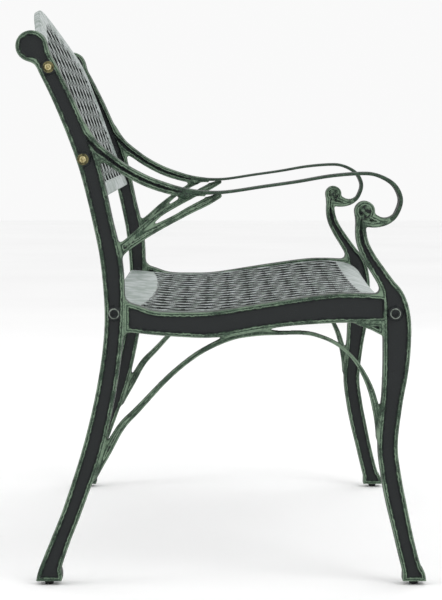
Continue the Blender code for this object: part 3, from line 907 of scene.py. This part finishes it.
    def build(self, looks: dict[Slot, bpy.types.Material]) -> bpy.types.Object:
        """Makes the frame.

        Args:
            looks: The material of each slot.

        Returns:
            The piece.
        """
        cast = Casting(*self.drawing())
        s = cast.spots
        thick, inset = s.more[0], np.clip(s.more[1], 0, 14)
        plate, brace = self.thickness / 2, self.brace_thickness / 2
        half = brace + (plate - brace) * ramp(thick, *self.thickening)
        boss = np.zeros(len(s.u))
        for kind, end in (("back", "upper"), ("back", "lower"), ("seat", "rear"), ("seat", "front")):
            low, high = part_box(f"{kind}_bolt_{self.side.name.lower()}_{end}")
            axis = (low + high) / 2 / MM
            away = np.hypot(s.u - axis.y - self.depth / 2, s.v - axis.z)
            boss = np.maximum(boss, 1 - ramp(away - self.boss_radius, *self.boss_fade))
        scroll = self.scroll(s.u, s.v)
        sunk = ramp(inset - self.rim_width, *self.rim_fade) * (1 - boss)
        groove = ramp(inset, *self.bead_groove[:2]) * (1 - ramp(inset, *self.bead_groove[2:]))
        groove *= ramp(s.depth, *self.groove_from)
        level = half - rounded(s.depth, self.edge_radius) - self.web_recess * sunk
        level -= self.groove_depth * groove + self.scroll_depth * scroll
        name = f"side_frame_{self.side.name.lower()}"
        curled = (s.v > self.curl[1]) & (s.u < self.curl[0])
        paint = np.where(curled, np.minimum(inset, self.curl_inset), inset)
        mesh = cast.mesh(f"{name}_casting", level, -level, self.place, {"inset": (paint, paint)})
        return add_piece(f"{name}_casting", mesh, Slot.FRAME, looks, name)

    def build_strap(self, looks: dict[Slot, bpy.types.Material]) -> bpy.types.Object:
        """Makes the arm rest's strap: a wide band that narrows into the casting at both ends.

        Args:
            looks: The material of each slot.

        Returns:
            The piece.
        """
        line = smooth_line(self.strap, self.strap_steps)
        way = np.gradient(line[:, :2], axis=0)
        way /= np.linalg.norm(way, axis=1)[:, None]
        across = np.stack([-way[:, 1], way[:, 0]], axis=1)
        pieces = np.linalg.norm(np.diff(line[:, :2], axis=0), axis=1)
        run = np.concatenate([[0], np.cumsum(pieces)])
        rear, front = self.strap_taper
        ends = ramp(run, 0, rear) * ramp(run[-1] - run, 0, front)
        half = (self.thickness + (self.strap_width - self.thickness) * ends) / 2 - self.strap_trim
        turns = np.linspace(0, math.tau, self.strap_points, endpoint=False)
        flat = np.sign(np.cos(turns)) * np.abs(np.cos(turns)) ** self.strap_power
        rise = np.sign(np.sin(turns)) * np.abs(np.sin(turns)) ** self.strap_power
        points = []
        for i, (y, z, width) in enumerate(line):
            for c, r in zip(flat, rise, strict=True):
                off = width / 2 * r
                points.append((
                    (self.middle + half[i] * c) * MM,
                    (y + across[i, 0] * off - self.depth / 2) * MM,
                    (z + across[i, 1] * off) * MM,
                ))
        count = len(turns)
        faces = [
            [base + i, base + (i + 1) % count, base + count + (i + 1) % count, base + count + i]
            for base in range(0, (len(line) - 1) * count, count)
            for i in range(count)
        ]
        faces += [list(reversed(range(count))), list(range(len(points) - count, len(points)))]
        name = f"arm_strap_{self.side.name.lower()}"
        mesh = bpy.data.meshes.new(name)
        mesh.from_pydata(points, [], faces)
        inset = mesh.attributes.new("inset", "FLOAT", "POINT")
        inset.data.foreach_set("value", [self.strap_inset] * len(points))
        face_out(mesh)
        return add_piece(name, mesh, Slot.FRAME, looks, f"side_frame_{self.side.name.lower()}")


class Line:
    """A panel's smooth line in the side view, measured by the distance along it."""

    def __init__(self, points: Points, depth: float, steps: int = 12) -> None:
        """Draws the line.

        Args:
            points: (y, z) points, y counted back from the front toes.
            depth: The bench's depth, whose middle is Y = 0.
            steps: Pieces between each two points.
        """
        self.points = smooth_line(points, steps) - (depth / 2, 0)
        along = np.linalg.norm(np.diff(self.points, axis=0), axis=1)
        self.at = np.concatenate([[0], np.cumsum(along)])
        way = np.gradient(self.points, axis=0)
        way /= np.linalg.norm(way, axis=1)[:, None]
        self.lift = np.stack([-way[:, 1], way[:, 0]], axis=1)
        self.length = float(self.at[-1])

    def place(self, distance: Array, height: Array) -> Array:
        """Rows of Y and Z at distances along the line, raised off it by heights.

        Args:
            distance: The distances.
            height: The heights.

        Returns:
            The rows.
        """
        y, z, lift_y, lift_z = (
            np.interp(distance, self.at, values) for values in (*self.points.T, *self.lift.T)
        )
        return np.stack([y + lift_y * height, z + lift_z * height], axis=1)


def lattice(
    drawing: Drawing, pitch: float, slope: float, width: float, offset: float, base: float,
    fillet: float = 3.5,
) -> Array:
    """The field of strips that lean both ways.

    Args:
        drawing: The drawing whose grid is used.
        pitch: The distance across between two strips that lean the same way.
        slope: How far a strip goes across for each millimetre up.
        width: A strip's width.
        offset: Where the first strip crosses the base line.
        base: The base line's v.
        fillet: How far the fillets where they cross reach.

    Returns:
        The field of both families joined.
    """
    steep = 1 / math.hypot(1, slope)
    families = []
    for lean in (slope, -slope):
        off = (drawing.u - offset - lean * (drawing.v - base) + pitch / 2) % pitch - pitch / 2
        families.append(width / 2 - np.abs(off) * steep)
    return blended(families[0], families[1], fillet)


def framed(outline: Array, window: Array, bars: Array, fillet: float) -> Array:
    """A panel's field: the outline with its window cut out, and the bars that cross the window."""
    return np.minimum(outline, blended(-window, bars, fillet))


@dataclass
class SeatPanel:
    """The seat: a rolled front band, a bowed rear band, side borders and a lattice of diamonds."""

    depth: float = 598.0
    pitch: float = 2.6
    thickness: float = 7.0
    dish: float = 10.0  # how far the front band sags in the middle
    margin: float = 4.0  # round the drawing
    window_corner: float = 6.0
    joint_fillet: float = 4.0
    strip_step: float = 0.8  # how far the strips lie below the bands, on each face
    front_band: float = 62.0
    rear_band: float = 44.0
    rear_bow: float = 17.0
    side_border: float = 9.0
    cells: tuple[int, int] = (16, 5)
    strip: float = 7.0
    edge_radius: float = 1.6
    corner: float = 9.0
    painted_from: tuple[float, float] = (0.5, 1.7)  # the paint starts over these depths
    shaded_underside_paint: float = 0.35  # how much of the pale paint shows on the underside; the rest is charcoal painted as shade under the seat
    lug_length: float = 22.0
    lug_drop: float = 10.0
    lug_radius: float = 2.2
    lug_corner: float = 6.0
    lug_pitch: float = 1.0
    # how far each lug reaches before and behind its bolt
    lug_reach: dict[str, tuple[float, float]] = field(
        default_factory=lambda: {"front": (-6.0, 16.0), "rear": (-11.0, 11.0)}
    )
    line: Points = field(default_factory=lambda: [
        (40.3, 388), (44.5, 399), (55, 409), (71, 415.5), (92, 418.5), (112, 419), (152, 416), (212, 408),
        (260, 401.5), (308, 396.5), (345, 395), (381, 395.5), (408, 397.5), (428, 399), (446, 400.5),
        (463, 401.5),
    ])

    def build(self, looks: dict[Slot, bpy.types.Material]) -> bpy.types.Object:
        """Makes the panel.

        Args:
            looks: The material of each slot.

        Returns:
            The piece.
        """
        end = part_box("seat_panel")[1].x / MM
        line = Line(self.line, self.depth)
        length = line.length
        edge = self.margin
        sheet = Drawing((-end - edge, -edge), (end + edge, length + edge), self.pitch)
        u, v = sheet.u, sheet.v
        side = end - np.abs(u)
        outline = -blended(-side, -np.minimum(v, length - v), self.corner)
        inner, front = end - self.side_border, self.front_band
        rear = length - self.rear_band
        bowed = rear - self.rear_bow * (1 - np.clip(u / inner, -1, 1) ** 2)
        window = -blended(-(inner - np.abs(u)), -np.minimum(v - front, bowed - v), self.window_corner)
        across = 2 * inner / self.cells[0]
        slope = across / ((rear - front) / self.cells[1])
        bars = lattice(sheet, across, slope, self.strip, 0, front)
        sheet.depth = framed(outline, window, bars, self.joint_fillet)
        cast = Casting(sheet, window)
        s = cast.spots
        in_window = ramp(s.more[0], -2, 2)
        upper = -rounded(s.depth, self.edge_radius) - self.strip_step * in_window
        lower = -self.thickness - upper

        def place(us: Array, vs: Array, level: Array) -> Array:
            """Bends the flat panel along its line and dishes it.

            Args:
                us: Places along the bench.
                vs: Distances along the panel's line.
                level: Heights off the line.

            Returns:
                Rows of X, Y and Z, in mm.
            """
            yz = line.place(vs, level)
            yz[:, 1] -= self.dish * (1 - (us / end) ** 2) * (1 - vs / length) ** 2
            return np.column_stack([us, yz])

        above = ramp(s.depth, *self.painted_from)
        # the underside keeps less of the pale paint, which paints shade under the seat
        masks = {"face": (above, self.shaded_underside_paint * above)}
        mesh = cast.mesh("seat_casting", upper, lower, place, masks)
        return add_piece("seat_casting", mesh, Slot.PANEL, looks, "seat_panel")

    def build_lug(self, side: Side, end: str, looks: dict[Slot, bpy.types.Material]) -> bpy.types.Object:
        """Makes the lug under one corner of the seat, which its bolt screws into.

        Args:
            side: The end of the bench.
            end: front or rear.
            looks: The material of each slot.

        Returns:
            The piece.
        """
        low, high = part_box(f"seat_bolt_{side.name.lower()}_{end}")
        y, z = (low.y + high.y) / 2 / MM + self.depth / 2, (low.z + high.z) / 2 / MM
        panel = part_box("seat_panel")[1].x / MM
        before, behind = self.lug_reach[end]
        line = Line(self.line, self.depth)
        edge, drop = self.margin, self.lug_drop
        sheet = Drawing((y + before - edge, z - drop - edge), (y + behind + edge, z + 30), self.lug_pitch)
        tops = line.points[:, 1] - self.thickness / 2
        top = np.interp(sheet.u[:, 0] - self.depth / 2, line.points[:, 0], tops)[:, None]
        square = np.minimum(np.minimum(sheet.u - y - before, y + behind - sheet.u), top - sheet.v)
        lowest = sheet.v - z + drop
        sheet.depth = np.minimum(-blended(-square, -lowest, self.lug_corner), square)
        cast = Casting(sheet)
        s = cast.spots
        half = self.lug_length / 2 - rounded(s.depth, self.lug_radius)
        middle = side.value * (panel - self.lug_length / 2)
        name = f"seat_lug_{side.name.lower()}_{end}"
        mesh = cast.mesh(
            name, half, -half,
            lambda us, vs, level: np.column_stack([middle + level, us - self.depth / 2, vs]),
            {"face": (np.ones(len(s.u)), np.ones(len(s.u)))},
        )
        return add_piece(name, mesh, Slot.PANEL, looks, "seat_panel")


@dataclass
class BackPanel:
    """The back: a lower rail, two stiles and an arched crest round a lattice of wide diamonds."""

    depth: float = 598.0
    pitch: float = 2.2
    thickness: float = 10.6
    strip_thickness: float = 5.0
    rail: float = 21.0
    stile: float = 24.0
    crest_band: float = 27.0
    crest_drop: float = 80.0
    crest_nose: float = 120.0
    lattice_pitch: tuple[float, float] = (93.0, 50.0)
    strip: float = 7.0
    edge_radius: float = 2.4
    strip_radius: float = 1.7
    thinning: tuple[float, float] = (-2.5, 0.5)  # the bands thin to the strips over these window depths
    painted_from: tuple[float, float] = (0.3, 1.3)  # the paint on the strips starts over these depths
    corner: float = 34.0
    window_corner: float = 8.0
    joint_fillet: float = 4.0
    margin: float = 4.0  # round the drawing
    line: Points = field(default_factory=lambda: [
        (472.3, 556.5), (494.2, 614.6), (542.9, 745.9), (593.2, 848.6),
    ])

    def build(self, looks: dict[Slot, bpy.types.Material]) -> bpy.types.Object:
        """Makes the panel.

        Args:
            looks: The material of each slot.

        Returns:
            The piece.
        """
        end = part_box("back_panel")[1].x / MM
        line = Line(self.line, self.depth, 24)
        edge = self.margin
        sheet = Drawing((-end - edge, -edge), (end + edge, line.length + edge), self.pitch)
        u, v = sheet.u, sheet.v
        share = self.crest_drop / (math.hypot(end, self.crest_nose) - self.crest_nose)
        crest = line.length - share * (np.hypot(u, self.crest_nose) - self.crest_nose)
        steep = 1 / np.hypot(1, share * u / np.hypot(u, self.crest_nose))
        under_crest = (crest - v) * steep
        side = end - np.abs(u)
        outline = np.minimum(-blended(-side, -under_crest, self.corner), v)
        inner = side - self.stile
        under_band = under_crest - self.crest_band * steep
        window = -blended(-np.minimum(inner, v - self.rail), -under_band, self.window_corner)
        wide, high = self.lattice_pitch
        bars = lattice(sheet, wide, wide / high, self.strip, wide / 2, self.rail)
        sheet.depth = framed(outline, window, bars, self.joint_fillet)
        cast = Casting(sheet, window)
        s = cast.spots
        thick, thin = self.thickness / 2, self.strip_thickness / 2
        half = thick + (thin - thick) * ramp(s.more[0], *self.thinning)
        on_band = half > thin + 1
        level = half - np.where(
            on_band, rounded(s.depth, self.edge_radius), rounded(s.depth, self.strip_radius)
        )
        in_window = ramp(s.more[0], -1, 1)
        face = np.maximum(ramp(s.depth, *self.painted_from), 1 - in_window)
        mesh = cast.mesh(
            "back_casting", level, -level,
            lambda us, vs, height: np.column_stack([us, line.place(vs, height)]),
            {"face": (face, face)},
        )
        return add_piece("back_casting", mesh, Slot.PANEL, looks, "back_panel")


# --- hardware ---------------------------------------------------------------------------------------------


@dataclass(frozen=True)
class Fastening:
    """A socket-head bolt and its washer, sized from their CAD nodes."""

    kind: str
    bolt: Slot
    washer: Slot
    ends: tuple[str, str]
    shank: float = 3.0
    clearance: float = 0.3
    points: int = 48

    def build(self, side: Side, end: str, looks: dict[Slot, bpy.types.Material]) -> None:
        """Makes one bolt and its washer.

        Args:
            side: The end of the bench.
            end: Which of the two bolts there.
            looks: The material of each slot.
        """
        tag, sign = f"{side.name.lower()}_{end}", side.value
        low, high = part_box(f"{self.kind}_bolt_{tag}")
        ring_low, ring_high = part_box(f"{self.kind}_washer_{tag}")
        axis = (low + high) / 2
        outer, tip = (high.x, low.x) if sign > 0 else (low.x, high.x)
        washer_out = ring_high.x if sign > 0 else ring_low.x
        washer_in = ring_low.x if sign > 0 else ring_high.x
        radius, wide = (high.z - low.z) / 2 / MM, (ring_high.z - ring_low.z) / 2 / MM
        seat = Vector((washer_out, axis.y, axis.z))
        height, length = abs(outer - washer_out) / MM, abs(washer_out - tip) / MM
        key = radius * 0.5
        profile = [
            (-length, 0.01), (-length, self.shank - 0.6), (-length + 0.6, self.shank), (0.1, self.shank),
            (0.1, radius - 0.3), (0.4, radius), (height - 1.3, radius), (height - 0.7, radius - 0.2),
            (height - 0.2, radius - 0.8), (height, radius - 1.4), (height, key + 0.9),
            (height - 0.25, -key - 0.35), (height - 0.7, -key), (height * 0.35, -key), (height * 0.22, -0.2),
        ]
        mesh = turned_mesh(f"{self.kind}_bolt_{tag}", profile, self.points, sign, seat)
        add_piece(f"socket_{self.kind}_bolt_{tag}", mesh, self.bolt, looks, f"{self.kind}_bolt_{tag}")
        thick = abs(washer_out - washer_in) / MM
        base = Vector((washer_in, axis.y, axis.z))
        hole = self.shank + self.clearance
        section = [
            (0, hole + 0.2), (0, wide - 0.3), (0.3, wide), (thick - 0.5, wide), (thick - 0.15, wide - 0.35),
            (thick, wide - 0.8), (thick, wide - 1.6), (thick - 0.25, wide - 2.0), (thick - 0.2, radius + 0.4),
            (thick, radius), (thick, hole + 0.2), (thick - 0.2, hole), (0.2, hole), (0, hole + 0.2),
        ]
        mesh = turned_mesh(f"{self.kind}_washer_{tag}", section, self.points, sign, base)
        face_out(mesh)
        node = f"{self.kind}_washer_{tag}"
        add_piece(f"dished_{node}", mesh, self.washer, looks, node)


@dataclass(frozen=True)
class PlugFoot:
    """A moulded plug pressed up into a leg's pad, with a rounded sole and a thin collar."""

    stem_radius: float = 4.0
    stem_length: float = 12.0
    taper: float = 1.2  # how much narrower the sole is than the collar
    points: int = 48

    def build(self, side: Side, end: str, looks: dict[Slot, bpy.types.Material]) -> None:
        """Makes one foot.

        Args:
            side: The end of the bench.
            end: front or rear.
            looks: The material of each slot.
        """
        node = f"foot_{side.name.lower()}_{end}"
        low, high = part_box(node)
        top = (high.z - low.z) / MM - self.stem_length
        wide = (high.x - low.x) / 2 / MM
        sole = wide - self.taper
        stem, tip = self.stem_radius, top + self.stem_length
        profile = [
            (0, 0.01), (0, sole - 0.9), (0.25, sole - 0.3), (0.8, sole), (top - 1.3, wide - 0.35),
            (top - 1.1, wide), (top - 0.2, wide), (top, wide - 0.3), (top, stem), (tip - 1, stem),
            (tip, stem - 1), (tip, 0.01),
        ]
        centre = Vector(((low.x + high.x) / 2, (low.y + high.y) / 2, low.z))
        mesh = turned_mesh(f"plug_{node}", profile, self.points, 1, centre, up=True)
        face_out(mesh)
        add_piece(f"plug_{node}", mesh, Slot.FOOT, looks, node)


# --- the room ---------------------------------------------------------------------------------------------


@dataclass(frozen=True)
class Studio:
    """A wide pale floor, soft lights from above and a long lens at the bench's left end."""

    floor_half: float = 14.0
    cloud: float = 0.9  # the size of the floor's faint clouds, in metres
    eye: tuple[float, float, float] = (-3.98, -0.002, 0.6535)
    dip: float = math.radians(3.95)
    lens: float = 145.9
    sky: float = 0.95
    # each lamp: its name, place in metres, power in watts and size in metres
    lamps: tuple = (
        ("key", (-2.6, -2.2, 3.4), 42, 2.2),
        ("rim", (-1.0, 2.8, 2.6), 20, 1.8),
        ("fill", (2.6, -1.6, 2.4), 14, 2.4),
    )
    aim: tuple[float, float, float] = (0, 0, 0.4)

    def build(self) -> None:
        """Makes the floor, the lights, the sky and the camera."""
        half = self.floor_half
        mesh = bpy.data.meshes.new("floor")
        corners = [(-half, -half, 0), (half, -half, 0), (half, half, 0), (-half, half, 0)]
        mesh.from_pydata(corners, [], [[0, 1, 2, 3]])
        shading = Shading("pale_floor")
        clouds = {"Vector": shading.place, "Scale": 1 / self.cloud, "Detail": 2, "Roughness": 0.55}
        tone = {0: shading.node("TexNoise", clouds), 6: linear("#f6f6f6"), 7: linear("#ffffff")}
        shading.fill(shading.shader, {
            "Base Color": shading.node("Mix", tone, **COLOUR), "Roughness": 0.9, "Specular IOR Level": 0.1,
        })
        mesh.materials.append(shading.material)
        floor = bpy.data.objects.new("floor", mesh)
        bpy.context.scene.collection.objects.link(floor)
        for lamp in self.lamps:
            self.light(*lamp)
        world = bpy.data.worlds.new("sky")
        world.use_nodes = True
        world.node_tree.nodes["Background"].inputs["Color"].default_value = (1, 1, 1, 1)
        world.node_tree.nodes["Background"].inputs["Strength"].default_value = self.sky
        scene = bpy.context.scene
        scene.world = world
        scene.view_settings.view_transform = "Standard"
        camera = bpy.data.objects.new("camera", bpy.data.cameras.new("camera"))
        camera.data.lens = self.lens
        camera.location = self.eye
        camera.rotation_euler = Euler((math.pi / 2 - self.dip, 0, -math.pi / 2))
        scene.collection.objects.link(camera)
        scene.camera = camera

    def light(self, name: str, place: tuple[float, float, float], power: float, size: float) -> None:
        """Hangs one soft square light that looks at the bench's middle.

        Args:
            name: Its name.
            place: Where it hangs, in metres.
            power: Its power in watts.
            size: The length of its side in metres.
        """
        lamp = bpy.data.lights.new(name, "AREA")
        lamp.energy, lamp.size = power, size
        hung = bpy.data.objects.new(name, lamp)
        hung.location = place
        hung.rotation_euler = (Vector(self.aim) - Vector(place)).to_track_quat("-Z", "Y").to_euler()
        bpy.context.scene.collection.objects.link(hung)


def main() -> None:
    """Builds the bench's looks round the CAD frame."""
    logging.basicConfig(level=logging.INFO, format="%(name)s: %(message)s")
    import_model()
    looks = finishes()
    back = Fastening("back", Slot.BRASS_BOLT, Slot.BRASS_WASHER, ("upper", "lower"))
    seat = Fastening("seat", Slot.BLACK_BOLT, Slot.ZINC_WASHER, ("rear", "front"))
    for side in Side:
        frame = SideFrame(side)
        frame.build(looks)
        frame.build_strap(looks)
        for fastening in (back, seat):
            for end in fastening.ends:
                fastening.build(side, end, looks)
        for end in ("rear", "front"):
            PlugFoot().build(side, end, looks)
    panel = SeatPanel()
    panel.build(looks)
    for side in Side:
        for end in seat.ends:
            panel.build_lug(side, end, looks)
    BackPanel().build(looks)
    Studio().build()


if __name__ == "__main__":
    main()
